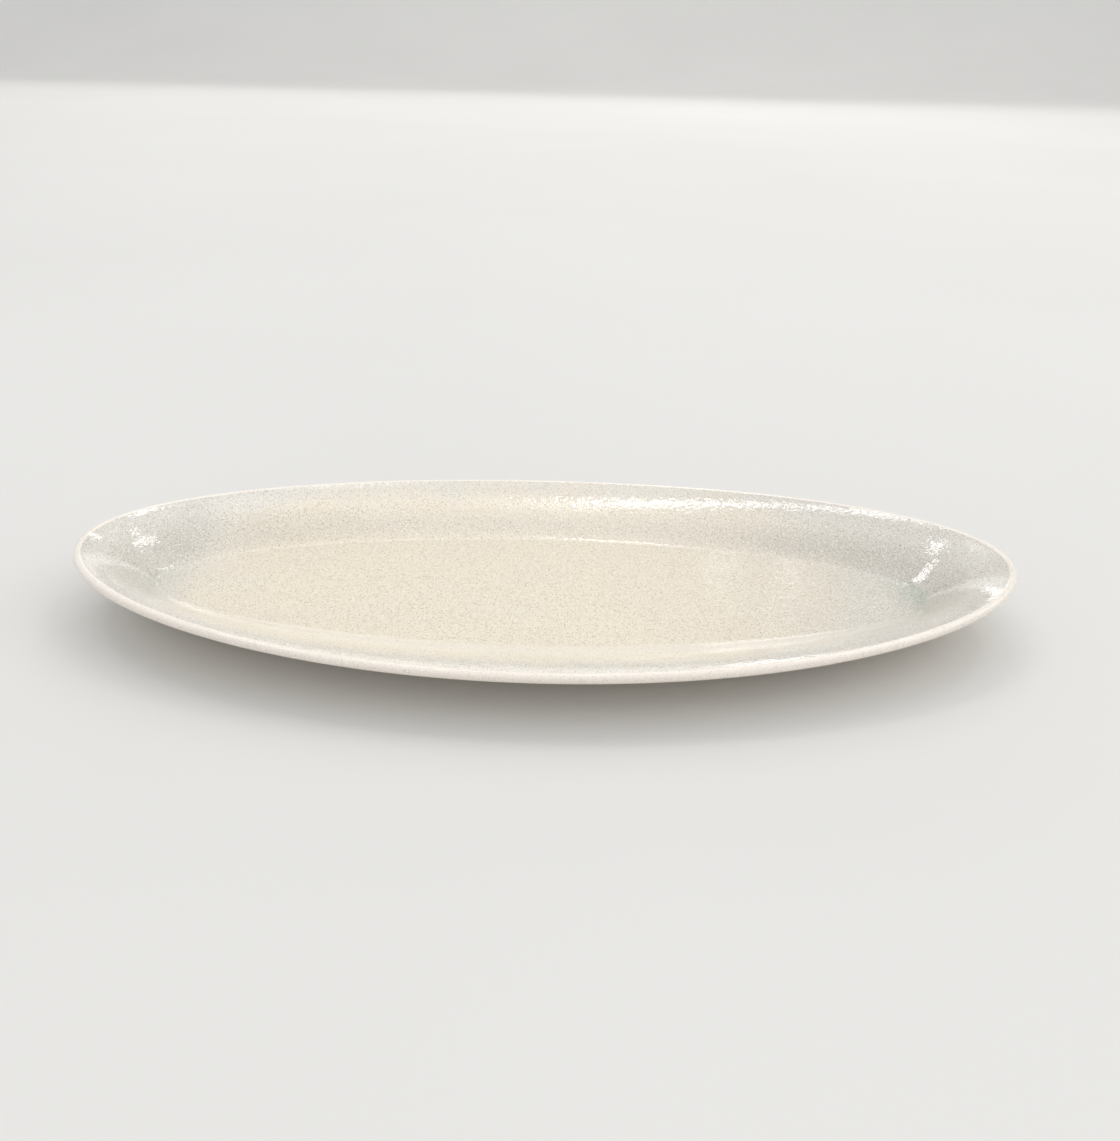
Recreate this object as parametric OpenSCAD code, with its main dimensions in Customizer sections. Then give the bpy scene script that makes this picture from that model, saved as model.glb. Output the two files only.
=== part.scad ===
// Long oval serving platter in speckled stoneware, with a glazed face and back and a dry foot ring.
// The origin is on the table, under the middle of the dish. X runs along the dish and Z is up.
// Every surface is swept round the dish from one cross-section, so body and glaze fit face to face.

/* [Platter] */
// Overall length, tip to tip
platter_l = 406; // [380:2:430]
// Overall width across the middle
platter_w = 178; // [170:1:190]
// Length of the flat floor
floor_l = 338; // [310:1:344]
// Width of the flat floor
floor_w = 92; // [84:1:98]
// How far the middle of the floor lies off the middle of the dish, along its length
floor_shift = -3; // [-5:0.5:5]
// How much the rim is narrowed towards its ends, as a share of its width
rim_taper = 0.043; // [0:0.001:0.08]
// How much the floor is narrowed towards its ends, as a share of its width
floor_taper = 0.065; // [0:0.001:0.1]

/* [Wall] */
// Height of the lip's centre above the floor, at the middle of each long side
side_rise = 11.8; // [9:0.1:16]
// How much higher the lip stands at the two ends
end_lift = 6.5; // [0:0.1:10]
// Slope of the wall where it runs into the lip, at the middle of each long side, in degrees
side_slope = 10; // [4:1:14]
// The same slope at the two ends, in degrees
end_slope = 24; // [14:1:27]
// Length of the tight curve between floor and wall, as a share of the wall's run
corner_share = 0.08; // [0.05:0.01:0.2]
// Length of the softer curve between underside and back, as a share of the wall's run
heel_share = 0.14; // [0.1:0.01:0.2]
// Length of the flared stretch below the lip, as a share of the wall's run
flare_share = 0.45; // [0.4:0.01:0.55]
// How far the round of the lip stands proud of the face, in degrees
lip_proud = 16; // [0:1:30]

/* [Thickness] */
// Thickness of the round lip, glaze included
lip_t = 4; // [3.4:0.1:5]
// Thickness of the floor, face glaze included
floor_t = 5.5; // [4.6:0.1:7]
// Thickness of the glaze
glaze_t = 0.4; // [0.3:0.05:0.6]

/* [Foot] */
// Height of the foot ring
foot_h = 5; // [4.5:0.5:7]
// Width of the foot ring
foot_w = 6; // [5:0.5:8]
// Distance from the floor's edge in to the foot ring
foot_inset = 3; // [2:0.5:6]

/* [Hidden] */
steps_round = 72;            // sections round the dish
wall_steps = 10;             // points up the face of the wall
lip_steps = 8;               // points round the lip
back_steps = 9;              // points down the back
lip_r = lip_t / 2;
floor_z = foot_h + floor_t;  // top of the glazed floor
back_edge = 3;               // how far the flat underside runs out past the floor's edge
back_closes = 2;             // the back is this many degrees steeper than the face at the lip
recess_edge = -foot_inset - foot_w;  // the recess inside the foot starts here, out from the floor's edge
bore_past = 1;               // the foot ring's bore is cut this far past both its faces
turns = [for (i = [0 : steps_round - 1]) 360 * i / steps_round];

// A point on an oval of the given length and width, narrowed towards its ends.
function oval(length, width, taper, turn) =
    [length / 2 * cos(turn), width / 2 * sin(turn) * (1 - taper * pow(cos(turn), 2))];

// Points of the two driving ovals: the centre of the round lip, and the floor's edge.
function rim_point(turn) = oval(platter_l - lip_t, platter_w - lip_t, rim_taper, turn);
function floor_point(turn) = oval(floor_l, floor_w, floor_taper, turn) + [floor_shift, 0];

// Run of the wall at one section, from the floor's edge to the lip's centre.
function wall_run(turn) = norm(rim_point(turn) - floor_point(turn));

// Height of the lip's centre above the floor: the rim sweeps up to both ends.
function lip_rise(turn) = side_rise + end_lift * pow(cos(turn), 2);

// Slope of the wall where it runs into the lip: it gets steeper towards the ends.
function lip_slope(turn) = side_slope + (end_slope - side_slope) * pow(cos(turn), 2);
function back_slope(turn) = lip_slope(turn) + back_closes;

// Angles on the lip's circle, from the outward direction, where the face ends and the back starts.
function face_end(turn) = 90 + lip_slope(turn) + lip_proud;
function back_start(turn) = back_slope(turn) - 90;

// A point of a section: d out from the floor's edge, z up from the table.
function on_section(turn, p) =
    let (start = floor_point(turn),
         out = (rim_point(turn) - start) / wall_run(turn))
    [start[0] + out[0] * p[0], start[1] + out[1] * p[0], p[1]];

function bezier(p, s) =
    pow(1 - s, 3) * p[0] + 3 * s * pow(1 - s, 2) * p[1] + 3 * s * s * (1 - s) * p[2] + pow(s, 3) * p[3];

// A point on the lip's circle, depth below the glazed surface.
function lip_point(turn, angle, depth) =
    [wall_run(turn) + (lip_r - depth) * cos(angle),
     floor_z + lip_rise(turn) + (lip_r - depth) * sin(angle)];

// Face of the wall, from the floor's edge up to the lip.
function face_line(turn, depth) =
    let (run = wall_run(turn),
         start = [0, floor_z - depth],
         end = lip_point(turn, face_end(turn), depth),
         tight = [corner_share * run, 0],
         flare = flare_share * run * [cos(lip_slope(turn)), sin(lip_slope(turn))],
         p = [start, start + tight, end - flare, end])
    [for (i = [0 : wall_steps]) bezier(p, i / wall_steps)];

// Round of the lip, over its outermost point to its underside.
function lip_line(turn, depth) =
    [for (s = [-1 : 2 / lip_steps : 1])
        lip_point(turn, s < 0 ? -s * face_end(turn) : s * back_start(turn), depth)];

// Back of the wall, from under the lip to the flat underside and on to the foot ring.
function back_line(turn, depth) =
    let (run = wall_run(turn),
         start = lip_point(turn, back_start(turn), depth),
         end = [back_edge, foot_h - glaze_t + depth],
         tight = [heel_share * run, 0],
         flare = flare_share * run * [cos(back_slope(turn)), sin(back_slope(turn))],
         p = [start, start - flare, end + tight, end])
    concat([for (i = [0 : back_steps]) bezier(p, i / back_steps)],
           [[-foot_inset, end[1]]]);

function reversed(line) = [for (i = [len(line) - 1 : -1 : 0]) line[i]];

// Line without its first point, which the line before it already holds.
function rest_of(line) = [for (i = [1 : len(line) - 1]) line[i]];

// Two triangles between section points (k, i) and (m, i + 1). Touching skins share the diagonal.
function band(k, m, swap, size) =
    [for (i = [0 : steps_round - 1])
        let (j = (i + 1) % steps_round,
             a = i * size + k, b = j * size + k, c = j * size + m, d = i * size + m)
        each (swap ? [[a, b, d], [b, c, d]] : [[a, b, c], [a, c, d]])];

// Sweeps a line round the dish. A closed line makes a ring, and an open one is capped flat at both
// ends. Bands up to turn_at run along the outer surface, and the rest come back along the clay.
module swept(lines, turn_at, closed) {
    size = len(lines[0]);
    points = [for (i = [0 : steps_round - 1]) each [for (p = lines[i]) on_section(turns[i], p)]];
    walls = [for (k = [0 : size - 2]) each band(k, k + 1, k > turn_at, size)];
    ring_close = band(size - 1, 0, true, size);
    caps = [[for (i = [steps_round - 1 : -1 : 0]) i * size],
            [for (i = [0 : steps_round - 1]) i * size + size - 1]];
    polyhedron(points, concat(walls, closed ? ring_close : caps), convexity = 6);
}

// Outline of the oval that lies d out from the floor's edge.
module oval_plate(d, height) {
    linear_extrude(height)
        polygon([for (turn = turns) let (p = on_section(turn, [d, 0])) [p[0], p[1]]]);
}

// Fired clay of floor, wall and lip, under the glaze.
module clay_body() {
    lines = [for (turn = turns)
        concat(face_line(turn, glaze_t), rest_of(lip_line(turn, glaze_t)),
               rest_of(back_line(turn, glaze_t)))];
    color("#cdbd9d") swept(lines, len(lines[0]), false);
}

// Dry clay ring that the dish stands on.
module foot_ring() {
    color("#b99b74") difference() {
        oval_plate(-foot_inset, foot_h);
        translate([0, 0, -bore_past]) oval_plate(recess_edge, foot_h + 2 * bore_past);
    }
}

// Glaze on the eating surface.
module face_glaze() {
    lines = [for (turn = turns)
        concat(face_line(turn, 0), reversed(face_line(turn, glaze_t)))];
    color("#e8e1cf") swept(lines, wall_steps, false);
}

// Thin, warm band of glaze over the lip.
module lip_glaze() {
    lines = [for (turn = turns)
        concat(lip_line(turn, 0), reversed(lip_line(turn, glaze_t)))];
    color("#ead9c3") swept(lines, lip_steps, true);
}

// Glaze on the outside, from under the lip to the foot ring.
module back_glaze() {
    lines = [for (turn = turns)
        concat(back_line(turn, 0), reversed(back_line(turn, glaze_t)))];
    color("#dcdad0") swept(lines, back_steps + 1, true);
}

// Glaze on the underside, inside the foot ring.
module recess_glaze() {
    color("#d9d8cd") translate([0, 0, foot_h - glaze_t])
        oval_plate(recess_edge, glaze_t);
}

clay_body();
foot_ring();
face_glaze();
lip_glaze();
back_glaze();
recess_glaze();
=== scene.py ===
"""Looks of the long oval stoneware platter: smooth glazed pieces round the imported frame, in metres."""
from math import cos, pi, radians, sin, tan

import bmesh
import bpy
from mathutils import Euler, Matrix, Vector


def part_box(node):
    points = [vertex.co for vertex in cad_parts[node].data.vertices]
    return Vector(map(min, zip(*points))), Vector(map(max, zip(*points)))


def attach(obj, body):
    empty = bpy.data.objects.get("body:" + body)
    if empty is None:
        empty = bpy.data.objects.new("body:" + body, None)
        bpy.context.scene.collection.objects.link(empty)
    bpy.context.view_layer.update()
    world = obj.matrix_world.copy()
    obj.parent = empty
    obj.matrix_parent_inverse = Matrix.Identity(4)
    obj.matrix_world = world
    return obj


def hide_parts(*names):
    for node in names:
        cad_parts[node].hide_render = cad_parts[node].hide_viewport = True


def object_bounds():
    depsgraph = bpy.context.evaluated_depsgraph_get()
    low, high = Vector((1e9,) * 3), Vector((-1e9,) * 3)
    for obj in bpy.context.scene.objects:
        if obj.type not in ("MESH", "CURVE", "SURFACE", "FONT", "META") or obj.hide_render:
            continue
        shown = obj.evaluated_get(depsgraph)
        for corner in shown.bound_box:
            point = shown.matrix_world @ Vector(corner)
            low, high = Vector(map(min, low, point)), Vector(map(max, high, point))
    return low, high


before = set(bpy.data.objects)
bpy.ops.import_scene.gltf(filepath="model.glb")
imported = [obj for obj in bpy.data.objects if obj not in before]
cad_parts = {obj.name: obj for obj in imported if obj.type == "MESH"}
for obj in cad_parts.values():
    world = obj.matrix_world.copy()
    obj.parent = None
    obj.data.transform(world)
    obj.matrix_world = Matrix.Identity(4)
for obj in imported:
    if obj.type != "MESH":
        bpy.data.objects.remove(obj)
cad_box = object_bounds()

MM = 0.001

# ---- Driving sizes: the outer sizes come from the frame, the rest repeats the design's values ----
LOW, HIGH = cad_box
RECESS_LOW, RECESS_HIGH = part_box("recess_glaze")

PLATTER_L = HIGH.x - LOW.x
PLATTER_W = HIGH.y - LOW.y
FOOT_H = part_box("foot_ring")[1].z
GLAZE_T = RECESS_HIGH.z - RECESS_LOW.z
FLOOR_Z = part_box("face_glaze")[0].z + GLAZE_T
LIP_R = 2 * MM
FLOOR_L = 338 * MM
FLOOR_W = 92 * MM
FLOOR_SHIFT = -3 * MM        # the floor lies a little off the middle, towards one end
RIM_TAPER = 0.043            # how much the rim and the floor are narrowed towards their ends
FLOOR_TAPER = 0.065
END_LIFT = 6.5 * MM          # how much higher the lip stands at the ends
SIDE_RISE = HIGH.z - FLOOR_Z - END_LIFT - LIP_R    # height of the lip's centre at the sides
SIDE_SLOPE = 10              # degrees, where the wall runs into the lip
END_SLOPE = 24
BACK_CLOSES = 2              # degrees by which the back is steeper than the face
LIP_PROUD = 16               # degrees by which the round of the lip stands proud of the face
CORNER_SHARE = 0.08          # the tight curve between floor and wall, as a share of the wall's run
HEEL_SHARE = 0.14            # the softer one on the back
FLARE_SHARE = 0.45           # the flared stretch below the lip
BACK_EDGE = 3 * MM           # the flat underside runs out this far past the floor's edge
FOOT_INSET = 3 * MM          # distance from the floor's edge in to the foot ring
FOOT_W = 6 * MM
RECESS_EDGE = -FOOT_INSET - FOOT_W    # the recess starts here, out from the floor's edge

# Hand-made unevenness, which the design doesn't have. The phases of its waves are arbitrary.
RIM_WAVER = 0.15 * MM        # of the rim's outline
LIFT_WAVER = 0.12 * MM       # of the rim's height along the sides
FLOOR_WAVER = 0.35 * MM      # of the floor's outline, in three long waves
FLOOR_RIPPLE = 0.25 * MM     # of the floor's outline, in five shorter waves
FOOT_ROUND = 1.2 * MM        # radius to which the foot's lower edges are worn

AROUND = 224                 # sections round the dish
WALL_STEPS = 48              # steps up the face, round the lip and down the back
WALL_CROWDING = 1.6          # above 1, the wall's points crowd into the tight curve at its foot
LIP_STEPS = 18
BACK_STEPS = 24
FLAT_STEPS = 4               # steps along the flat underside, in to the foot
FOOT_STEPS = 5               # steps round each worn edge of the foot
FLOOR_RINGS = 12             # rings between the floor's edge and its middle
FAR_INSIDE = -100            # millimetres out from the floor's edge, noted for the floor's middle


# ---- Shape ----

def smooth(low, high, value):
    """0 below low, 1 above high, and an even S curve between them."""
    t = min(max((value - low) / (high - low), 0.0), 1.0)
    return t * t * (3 - 2 * t)


def oval(length, width, taper, turn):
    """A point on an oval that is narrowed towards its ends."""
    return Vector((length / 2 * cos(turn), width / 2 * sin(turn) * (1 - taper * cos(turn) ** 2)))


def rim_point(turn):
    """Centre of the round lip. The waver only draws it in, and leaves both tips where they are."""
    waver = RIM_WAVER * (2 - cos(4 * turn) - cos(2 * turn)) * (1 + 0.5 * sin(3 * turn + 1.0))
    length = PLATTER_L - 2 * LIP_R - waver
    width = PLATTER_W - 2 * LIP_R - waver * sin(turn) ** 2
    return oval(length, width, RIM_TAPER, turn)


def floor_point(turn):
    """The floor's edge, where the tight curve up to the wall starts."""
    waver = FLOOR_WAVER * sin(3 * turn + 0.7) + FLOOR_RIPPLE * sin(5 * turn + 2.0)
    return oval(FLOOR_L + waver, FLOOR_W + waver, FLOOR_TAPER, turn) + Vector((FLOOR_SHIFT, 0))


def wall_run(turn):
    """Run of the wall at one section, from the floor's edge to the lip's centre."""
    return (rim_point(turn) - floor_point(turn)).length


def lip_rise(turn):
    """Height of the lip's centre above the floor: the rim sweeps up to both ends."""
    waver = LIFT_WAVER * sin(turn) ** 2 * (1 + sin(5 * turn + 0.4))
    return SIDE_RISE + END_LIFT * cos(turn) ** 2 - waver


def on_section(turn, d, z):
    """A point d out from the floor's edge and z up from the table, in the section at this turn."""
    start = floor_point(turn)
    out = (rim_point(turn) - start).normalized()
    return Vector((start.x + out.x * d, start.y + out.y * d, z))


def bezier(p, s):
    """The point at share s of the cubic curve with control points p."""
    a, b, c, d = (Vector(q) for q in p)
    return (1 - s) ** 3 * a + 3 * s * (1 - s) ** 2 * b + 3 * s * s * (1 - s) * c + s ** 3 * d


def lip_point(turn, angle, depth):
    """A point on the lip's circle, depth below the glazed surface."""
    radius = LIP_R - depth
    height = FLOOR_Z + lip_rise(turn)
    return Vector((wall_run(turn) + radius * cos(angle), height + radius * sin(angle)))


def lip_slope(turn):
    """Slope of the face where it runs into the lip: it gets steeper towards the ends."""
    return radians(SIDE_SLOPE + (END_SLOPE - SIDE_SLOPE) * cos(turn) ** 2)


def back_slope(turn):
    """Slope of the back where it starts under the lip."""
    return lip_slope(turn) + radians(BACK_CLOSES)


def face_end(turn):
    """Angle on the lip's circle, from the outward direction, where the face ends."""
    return pi / 2 + lip_slope(turn) + radians(LIP_PROUD)


def back_start(turn):
    """Angle on the lip's circle where the back starts."""
    return back_slope(turn) - pi / 2


def flare(turn, slope):
    """The flared stretch of the wall next to the lip, as a step outwards at this slope."""
    return FLARE_SHARE * wall_run(turn) * Vector((cos(slope), sin(slope)))


def face_line(turn, depth):
    """Face of the wall, from the floor's edge up to the lip."""
    start = Vector((0, FLOOR_Z - depth))
    end = lip_point(turn, face_end(turn), depth)
    tight = Vector((CORNER_SHARE * wall_run(turn), 0))
    p = (start, start + tight, end - flare(turn, lip_slope(turn)), end)
    return [bezier(p, (i / WALL_STEPS) ** WALL_CROWDING) for i in range(WALL_STEPS + 1)]


def lip_line(turn, depth):
    """Round of the lip, from the face over the outermost point to its underside."""
    first, last = face_end(turn), back_start(turn)
    angles = [first + (last - first) * i / LIP_STEPS for i in range(LIP_STEPS + 1)]
    return [lip_point(turn, angle, depth) for angle in angles]


def back_line(turn, depth):
    """Back of the wall, from under the lip to the flat underside and on to the foot ring."""
    start = lip_point(turn, back_start(turn), depth)
    end = Vector((BACK_EDGE, FOOT_H - GLAZE_T + depth))
    tight = Vector((HEEL_SHARE * wall_run(turn), 0))
    p = (start, start - flare(turn, back_slope(turn)), end + tight, end)
    line = [bezier(p, i / BACK_STEPS) for i in range(BACK_STEPS + 1)]
    flat = Vector((-FOOT_INSET - BACK_EDGE, 0))
    return line + [end + flat * i / FLAT_STEPS for i in range(1, FLAT_STEPS + 1)]


def join_rings(bm, first, second, flip=False):
    """A band of faces between two rings of points."""
    for i in range(AROUND):
        j = (i + 1) % AROUND
        quad = (first[i], first[j], second[j], second[i])
        bm.faces.new(reversed(quad) if flip else quad)


def fill(bm, out_layer, edge, flip):
    """Fills the oval inside a ring with rings that shrink evenly to one middle point."""
    outer = edge
    height = edge[0].co.z
    for k in range(FLOOR_RINGS - 1, 0, -1):
        share = k / FLOOR_RINGS
        ring = []
        for vert in edge:
            new = bm.verts.new((vert.co.x * share, vert.co.y * share, height))
            new[out_layer] = vert[out_layer] - (1 - share) * vert.co.xy.length / MM
            ring.append(new)
        join_rings(bm, outer, ring, flip)
        outer = ring
    middle = bm.verts.new((0, 0, height))
    middle[out_layer] = FAR_INSIDE
    for i in range(AROUND):
        corners = (outer[i], outer[(i + 1) % AROUND], middle)
        bm.faces.new(reversed(corners) if flip else corners)


def swept(name, line_at, closed, sharp=()):
    """A closed mesh swept round the dish. line_at(turn) gives (d, z) points of one section.

    A closed line makes a ring. An open line is filled across the dish at both ends. sharp lists
    the points whose rings stay crisp. The layer "out" keeps how many millimetres each point lies
    out from the floor's edge.
    """
    turns = [2 * pi * i / AROUND for i in range(AROUND)]
    lines = [line_at(turn) for turn in turns]
    bm = bmesh.new()
    out_layer = bm.verts.layers.float.new("out")
    rings = []
    for points in zip(*lines):
        ring = []
        for turn, point in zip(turns, points):
            vert = bm.verts.new(on_section(turn, point.x, point.y))
            vert[out_layer] = point.x / MM
            ring.append(vert)
        rings.append(ring)
    for first, second in zip(rings, rings[1:]):
        join_rings(bm, first, second)
    if closed:
        join_rings(bm, rings[-1], rings[0])
    else:
        fill(bm, out_layer, rings[0], True)
        fill(bm, out_layer, rings[-1], False)
    for k in sharp:
        for pair in zip(rings[k], rings[k][1:] + rings[k][:1]):
            bm.edges.get(pair).smooth = False
    bmesh.ops.recalc_face_normals(bm, faces=bm.faces)
    for face in bm.faces:
        face.smooth = True
    return placed(name, bm)


def placed(name, bm):
    """The finished mesh as an object in the scene."""
    mesh = bpy.data.meshes.new(name)
    bm.to_mesh(mesh)
    bm.free()
    made = bpy.data.objects.new(name, mesh)
    bpy.context.collection.objects.link(made)
    return made


def skin(line_at):
    """Section of a coat of glaze: out along its surface and back along the clay."""
    return lambda turn: line_at(turn, 0) + line_at(turn, GLAZE_T)[::-1]


def ring_skin(name, line_at, last):
    """A ring of glaze, crisp at all four edges. last is the number of its line's last point."""
    return swept(name, skin(line_at), closed=True, sharp=(0, last, last + 1, 2 * last + 1))


def clay_body():
    def line(turn):
        return (face_line(turn, GLAZE_T) + lip_line(turn, GLAZE_T)[1:]
                + back_line(turn, GLAZE_T)[1:])
    return swept("clay_body_smooth", line, closed=False)


def face_glaze():
    return swept("face_glaze_smooth", skin(face_line), closed=False,
                 sharp=(WALL_STEPS, WALL_STEPS + 1))


def lip_glaze():
    return ring_skin("lip_glaze_smooth", lip_line, LIP_STEPS)


def back_glaze():
    return ring_skin("back_glaze_smooth", back_line, BACK_STEPS + FLAT_STEPS)


def recess_glaze():
    def line(turn):
        return [Vector((RECESS_EDGE, FOOT_H)), Vector((RECESS_EDGE, FOOT_H - GLAZE_T))]
    return swept("recess_glaze_smooth", line, closed=False, sharp=(0, 1))


def foot_ring():
    """The foot, with its lower edges worn round."""
    def worn_edge(d, side, first, last):
        """Quarter round between two angles. side is 1 on the foot's outside and -1 inside."""
        angles = [radians(first + (last - first) * i / FOOT_STEPS) for i in range(FOOT_STEPS + 1)]
        return [Vector((d + FOOT_ROUND * (cos(a) - side), FOOT_ROUND * (1 + sin(a)))) for a in angles]

    def line(turn):
        return ([Vector((-FOOT_INSET, FOOT_H))] + worn_edge(-FOOT_INSET, 1, 0, -90)
                + worn_edge(RECESS_EDGE, -1, -90, -180) + [Vector((RECESS_EDGE, FOOT_H))])
    last = 2 * (FOOT_STEPS + 1) + 1
    return swept("foot_ring_smooth", line, closed=True, sharp=(0, last))


# ---- Materials ----

class Graph:
    """Short calls for a material's node tree."""

    def __init__(self, name):
        self.material = bpy.data.materials.new(name)
        self.material.use_nodes = True
        self.tree = self.material.node_tree
        self.shader = self.tree.nodes["Principled BSDF"]
        self.place = self.tree.nodes.new("ShaderNodeTexCoord").outputs["Object"]

    def add(self, kind, inputs, **settings):
        made = self.tree.nodes.new(kind)
        for key, value in settings.items():
            setattr(made, key, value)
        for key, value in inputs.items():
            self.put(made.inputs[key], value)
        return made

    def put(self, socket, value):
        if isinstance(value, bpy.types.NodeSocket):
            self.tree.links.new(value, socket)
        else:
            socket.default_value = value

    def shifted(self, shift):
        """The place, moved so that two textures of one kind don't coincide."""
        return self.add("ShaderNodeVectorMath", {0: self.place, 1: (shift, shift, shift)}).outputs[0]

    def noise(self, size, detail=2.0, shift=0.0):
        """Noise from 0 to 1 whose features are about size metres across."""
        made = self.add("ShaderNodeTexNoise", {"Vector": self.shifted(shift), "Scale": 1 / size,
                                               "Detail": detail})
        return made.outputs["Fac"]

    def attribute(self, name):
        """One of the TONES that shade() stores on the mesh."""
        return self.add("ShaderNodeAttribute", {}, attribute_name=name).outputs["Fac"]

    def math(self, operation, *values):
        return self.add("ShaderNodeMath", dict(enumerate(values)), operation=operation).outputs[0]

    def ramp(self, value, low, high, start=0.0, end=1.0):
        """value taken smoothly from start at low to end at high."""
        made = self.add("ShaderNodeMapRange", {"Value": value, "From Min": low, "From Max": high,
                                               "To Min": start, "To Max": end},
                        interpolation_type="SMOOTHSTEP")
        return made.outputs["Result"]

    def mix(self, share, first, second):
        """Two colours mixed. The mix node has its colours on inputs 6 and 7 and on output 2."""
        made = self.add("ShaderNodeMix", {0: share, 6: first, 7: second}, data_type="RGBA")
        return made.outputs[2]

    def specks(self, cell, biggest, soft, shift=0.0):
        """Dots scattered one to a cell, of random radius up to biggest cells, with soft edges."""
        cells = self.add("ShaderNodeTexVoronoi", {"Vector": self.shifted(shift), "Scale": 1 / cell})
        chance = self.add("ShaderNodeSeparateColor", {0: cells.outputs["Color"]}).outputs[0]
        radius = self.math("MULTIPLY", chance, biggest)
        inside = self.math("SUBTRACT", radius, cells.outputs["Distance"])
        return self.ramp(inside, 0.0, soft)

    def bump(self, height, distance, strength=1.0):
        """Relief: height from 0 to 1 stands for distance metres."""
        made = self.add("ShaderNodeBump", {"Height": height, "Strength": strength,
                                           "Distance": distance})
        self.put(self.shader.inputs["Normal"], made.outputs[0])


def colour(red, green, blue):
    """A display colour from 0 to 255, as the linear colour that the shader takes."""
    def linear(c):
        c /= 255
        return c / 12.92 if c <= 0.04045 else ((c + 0.055) / 1.055) ** 2.4
    return (linear(red), linear(green), linear(blue), 1.0)


WARM = colour(223, 212, 192)
COOL = colour(215, 211, 202)
PINK = colour(223, 208, 190)
POOL = colour(168, 174, 162)
# Darker, greyer tone: painted shade low on the wall, and darker towards the ends and near the rim
GREY_AND_SHADE = colour(190, 184, 174)
BREAK = colour(234, 224, 213)
SPECK = colour(108, 94, 70)
FLECK = colour(148, 137, 118)
GRAIN = colour(250, 243, 230)
CLAY = colour(196, 172, 136)
CLAY_DARK = colour(176, 148, 112)
STAGE = colour(211, 209, 205)
STAGE_LIGHT = colour(217, 215, 211)

TONES = ("cool", "pool", "grey_and_shade", "break")    # shares from 0 to 1, in the order tone functions give


def glaze(name):
    """Glossy stoneware glaze: warm and cool patches, iron specks, fine grain and orange peel.

    The mesh says point by point how cool the glaze is, where it is darker and greyer (painted
    shade low on the wall), where it pools in the corner of the dish and where it breaks thin and
    pale over the lip.
    """
    g = Graph(name)

    # Ground colours, the cool one with a wandering border, and a light grain over them.
    patches = g.math("SUBTRACT", g.noise(30 * MM, detail=3.0, shift=7.0), 0.5)
    wander = g.math("MULTIPLY", patches, 1.1)
    cool = g.ramp(g.math("ADD", g.attribute("cool"), wander), 0.0, 1.0)
    blush = g.ramp(g.noise(28 * MM, detail=3.0, shift=3.1), 0.46, 0.64, 0.0, 0.3)
    base = g.mix(blush, WARM, PINK)
    base = g.mix(cool, base, COOL)
    # Darker, greyer tone: painted shade low on the wall, elsewhere darker towards the ends and near the
    # rim
    base = g.mix(g.attribute("grey_and_shade"), base, GREY_AND_SHADE)
    base = g.mix(g.attribute("pool"), base, POOL)
    base = g.mix(g.attribute("break"), base, BREAK)
    grain = g.ramp(g.noise(0.7 * MM, detail=1.0, shift=4.0), 0.45, 0.7, 0.0, 0.42)
    base = g.mix(grain, base, GRAIN)

    # Two sizes of iron specks, weaker where the glaze breaks.
    strength = g.math("SUBTRACT", 0.85, g.math("MULTIPLY", g.attribute("break"), 0.6))
    small = g.specks(0.68 * MM, biggest=0.46, soft=0.14)
    large = g.specks(1.2 * MM, biggest=0.22, soft=0.07, shift=1.7)
    for dots, tone in ((small, FLECK), (large, SPECK)):
        base = g.mix(g.math("MULTIPLY", dots, strength), base, tone)
    g.put(g.shader.inputs["Base Color"], base)
    g.put(g.shader.inputs["Roughness"], g.ramp(g.noise(4 * MM, shift=5.0), 0.3, 0.7, 0.06, 0.11))

    # Orange peel: waves of 2.4 and 7 mm, and a finer one a quarter as high.
    peel = g.math("ADD", g.noise(2.4 * MM, detail=1.0, shift=2.0), g.noise(7 * MM, detail=1.0))
    peel = g.math("ADD", peel, g.math("MULTIPLY", g.noise(1.1 * MM, shift=9.0), 0.25))
    g.bump(peel, 0.08 * MM)
    g.shader.inputs["IOR"].default_value = 1.5
    return g.material


def clay(name):
    """Dry fired stoneware: gritty, matt, with iron specks."""
    g = Graph(name)
    base = g.mix(g.ramp(g.noise(6 * MM, detail=4.0), 0.35, 0.7), CLAY, CLAY_DARK)
    specks = g.specks(2 * MM, biggest=0.3, soft=0.1)
    base = g.mix(g.math("MULTIPLY", specks, 0.8), base, SPECK)
    g.put(g.shader.inputs["Base Color"], base)
    g.put(g.shader.inputs["Roughness"], g.ramp(g.noise(2 * MM), 0.3, 0.7, 0.78, 0.95))
    g.bump(g.noise(0.6 * MM, detail=3.0), 0.1 * MM, strength=0.6)
    return g.material


def shade(piece, tone_at):
    """Stores the glaze's tones on each point, from what tone_at(along, out) gives.

    along runs from -1 to 1 from tip to tip, and out is how many millimetres a point lies out from
    the floor's edge.
    """
    mesh = piece.data
    outs = [point.value for point in mesh.attributes["out"].data]
    tones = [tone_at(vert.co.x / (PLATTER_L / 2), out) for vert, out in zip(mesh.vertices, outs)]
    for name, values in zip(TONES, zip(*tones)):
        layer = mesh.attributes.new(name, "FLOAT", "POINT")
        layer.data.foreach_set("value", values)


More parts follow.
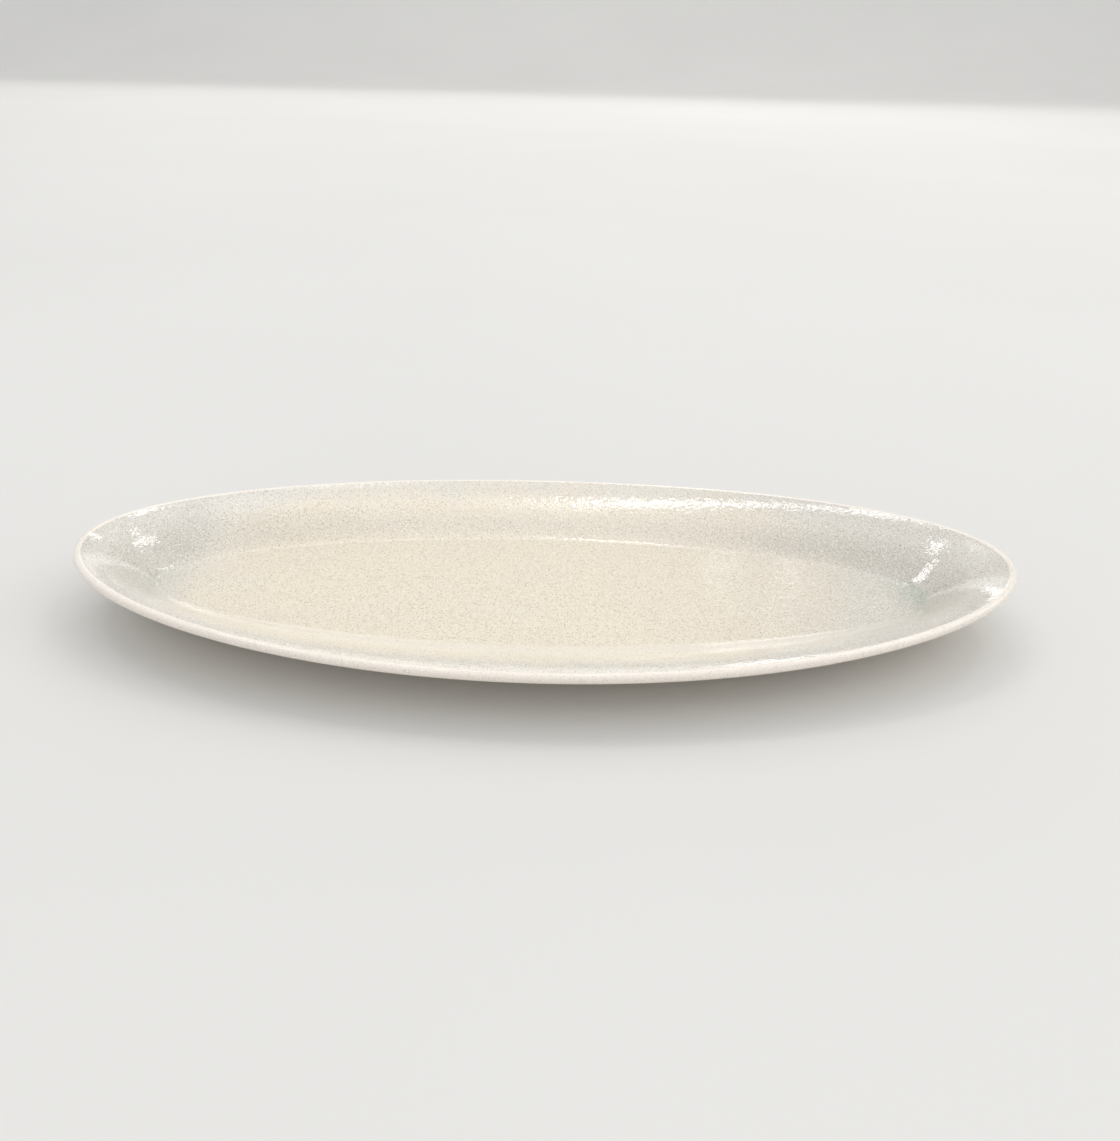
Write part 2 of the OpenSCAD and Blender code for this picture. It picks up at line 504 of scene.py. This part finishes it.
def face_tone(along, out):
    """Cool at the ends and up the wall, with a pool in the corner of both ends.

    Darker and greyer towards both ends, more at the right, and near the rim. Low on the wall,
    next to the floor's edge, the darkening is painted shade.
    """
    cool = min(1.0, smooth(0.45, 0.95, abs(along + 0.04)) + 0.5 * smooth(10, 40, out))
    corner = smooth(-3, 0, out) * (1 - smooth(1, 5, out))
    pool = corner * smooth(0.79, 0.87, abs(along + 0.03))
    # Painted shade: darker low on the wall, next to the floor's edge
    shaded_low_wall = smooth(-2, 8, out) * (1 - smooth(10, 24, out))
    high_wall = smooth(22, 34, out)
    right_end = smooth(0.1, 0.8, along) * (1 - 0.8 * smooth(0.85, 0.98, along))
    left_end = smooth(0.74, 0.84, -along)
    grey_and_shade = 0.5 * right_end + 0.4 * left_end + 0.35 * shaded_low_wall + 0.3 * high_wall
    return cool, pool, grey_and_shade, 0.0


def lip_tone(along, out):
    """Thin and pale all round, and cooler towards the ends."""
    return smooth(0.2, 0.8, abs(along)), 0.0, 0.0, 0.85


def back_tone(along, out):
    """Evenly cool."""
    return 0.6, 0.0, 0.0, 0.0


# ---- Stage: pale floor that curves up into a backdrop, soft lights, camera ----

def stage_floor():
    """A wide floor whose far edge sweeps up into a wall, in metres."""
    near_y, far_y = -4.0, 6.0
    half_width = 8.0
    top = 6.0
    bend = 2.0
    bend_steps = 16
    mottle = 0.5
    profile = [(near_y, 0.0), (far_y - bend, 0.0)]
    for i in range(1, bend_steps + 1):
        angle = pi / 2 * i / bend_steps
        profile.append((far_y - bend + bend * sin(angle), bend - bend * cos(angle)))
    profile.append((far_y, top))
    bm = bmesh.new()
    rows = [[bm.verts.new((x, y, z)) for x in (-half_width, half_width)] for y, z in profile]
    for near, far in zip(rows, rows[1:]):
        bm.faces.new((near[0], near[1], far[1], far[0])).smooth = True
    floor = placed("floor", bm)
    g = Graph("floor")
    g.put(g.shader.inputs["Base Color"], g.mix(g.noise(mottle), STAGE, STAGE_LIGHT))
    g.shader.inputs["Roughness"].default_value = 0.9
    floor.data.materials.append(g.material)


def toward(azimuth, elevation):
    """The direction of a lamp, azimuth clockwise from straight behind the dish as seen from above."""
    around, above = radians(azimuth), radians(elevation)
    return Vector((sin(around) * cos(above), cos(around) * cos(above), sin(above)))


def area_light(name, start, end, width, radiance, reach=5.0):
    """A rectangular lamp that faces the dish from reach metres away.

    start and end are the azimuth and elevation of the middles of its short sides, in degrees as
    seen from the dish, and width is how wide it looks between its long sides. radiance is 1 for a
    surface as bright as white paper.
    """
    first, last = toward(*start), toward(*end)
    away = (first + last).normalized()
    along = (last - first).normalized()
    data = bpy.data.lights.new(name, "AREA")
    data.shape = "RECTANGLE"
    data.size = reach * (last - first).length
    data.size_y = 2 * reach * tan(radians(width / 2))
    data.energy = radiance * pi * data.size * data.size_y
    light = bpy.data.objects.new(name, data)
    turned = Matrix((along, away.cross(along), away)).transposed().to_4x4()
    light.matrix_world = Matrix.Translation(reach * away) @ turned
    light.visible_camera = False
    bpy.context.collection.objects.link(light)


def sky():
    """Plain surroundings, a little brighter overhead than at the horizon."""
    pale_blue = (0.95, 0.97, 1.0, 1.0)
    horizon, overhead = 0.65, 1.0    # strength
    world = bpy.data.worlds.new("studio")
    world.use_nodes = True
    nodes, links = world.node_tree.nodes, world.node_tree.links
    background = nodes["Background"]
    background.inputs["Color"].default_value = pale_blue
    place = nodes.new("ShaderNodeTexCoord")
    axes = nodes.new("ShaderNodeSeparateXYZ")
    rise = nodes.new("ShaderNodeMapRange")
    rise.inputs["To Min"].default_value = horizon
    rise.inputs["To Max"].default_value = overhead
    links.new(place.outputs["Generated"], axes.inputs[0])
    links.new(axes.outputs["Z"], rise.inputs["Value"])
    links.new(rise.outputs["Result"], background.inputs["Strength"])
    bpy.context.scene.world = world


def lamps():
    """One lamp for each highlight, because the glaze mirrors them, and soft ones for the rest."""
    # Narrow lamps high behind the dish give the highlights on the far wall and along its foot.
    area_light("lamp_middle", (0, 61.5), (9, 60.8), 4.6, 8.5)
    area_light("lamp_faint", (-4.6, 64.8), (0, 64.2), 3, 2)
    area_light("lamp_rim", (-10, 48), (-15, 56), 2.5, 3)
    area_light("lamp_edge", (2, 39), (10.5, 39), 4, 5.5)

    # Lamps to the left and right give the short highlights in the two ends of the dish.
    area_light("lamp_left", (-60, 60.5), (-47, 60.5), 7, 10)
    area_light("lamp_dash", (-42, 67.5), (-24, 65), 3, 10)
    area_light("lamp_right", (42, 49), (66, 65), 3, 9)
    area_light("lamp_small", (38, 58), (43, 60), 3.5, 9)

    # Low lamps give the faint gleams on the floor and the thin lines along the floor's near edge.
    area_light("gleam_middle", (10.4, 28), (12.2, 28), 1, 3.5)
    area_light("gleam_right", (15, 28), (17, 27.5), 1, 3.5)
    area_light("window", (8.5, 9.5), (15, 11.5), 2, 4, reach=3.5)
    area_light("window_left", (-23, 19), (-20, 19), 3, 3.2, reach=3.5)

    # Large, soft ones fill in from low and high behind, from the right and from the front.
    area_light("back_wall", (-40, 12), (40, 12), 13, 1.0, reach=3.6)
    area_light("back_soft", (-25, 55), (35, 55), 40, 0.6)
    area_light("right_fill", (95, 15), (95, 60), 50, 1.0)
    area_light("front_fill", (180, 25), (180, 65), 60, 0.4)


def camera():
    """The view: about 30 degrees above the table, nearly square to the long side."""
    distance = 445.1 * MM    # from the middle of the dish's floor
    azimuth = radians(0.9)
    elevation = radians(29.8)
    roll = radians(1.461)
    aim = Vector((6.36 * MM, 16.18 * MM, FLOOR_Z))
    data = bpy.data.cameras.new("camera")
    data.lens = 31.55
    data.sensor_width = 36.0
    data.clip_start = 10 * MM
    cam = bpy.data.objects.new("camera", data)
    cam.location = Vector((distance * cos(elevation) * sin(azimuth),
                           -distance * cos(elevation) * cos(azimuth),
                           distance * sin(elevation) + FLOOR_Z))
    cam.rotation_mode = "QUATERNION"
    level = (aim - cam.location).to_track_quat("-Z", "Y")
    cam.rotation_quaternion = level @ Euler((0, 0, roll)).to_quaternion()
    bpy.context.collection.objects.link(cam)
    bpy.context.scene.camera = cam


# ---- Build ----

# What makes each piece, the node it stands for, its material slot and the tones of its glaze.
PIECES = (
    (face_glaze, "face_glaze", "face_glaze", face_tone),
    (lip_glaze, "lip_glaze", "lip_glaze", lip_tone),
    (back_glaze, "back_glaze", "back_glaze", back_tone),
    (recess_glaze, "recess_glaze", "back_glaze", back_tone),
    (foot_ring, "foot_ring", "dry_clay", None),
    (clay_body, "clay_body", "body_clay", None),
)
materials = {slot: glaze(slot) for slot in ("face_glaze", "lip_glaze", "back_glaze")}
materials.update({slot: clay(slot) for slot in ("dry_clay", "body_clay")})
for make, node, slot, tone_at in PIECES:
    piece = make()
    if tone_at:
        shade(piece, tone_at)
    piece.data.materials.append(materials[slot])
    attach(piece, "root")
    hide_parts(node)

stage_floor()
sky()
lamps()
camera()
bpy.context.scene.view_settings.view_transform = "Standard"
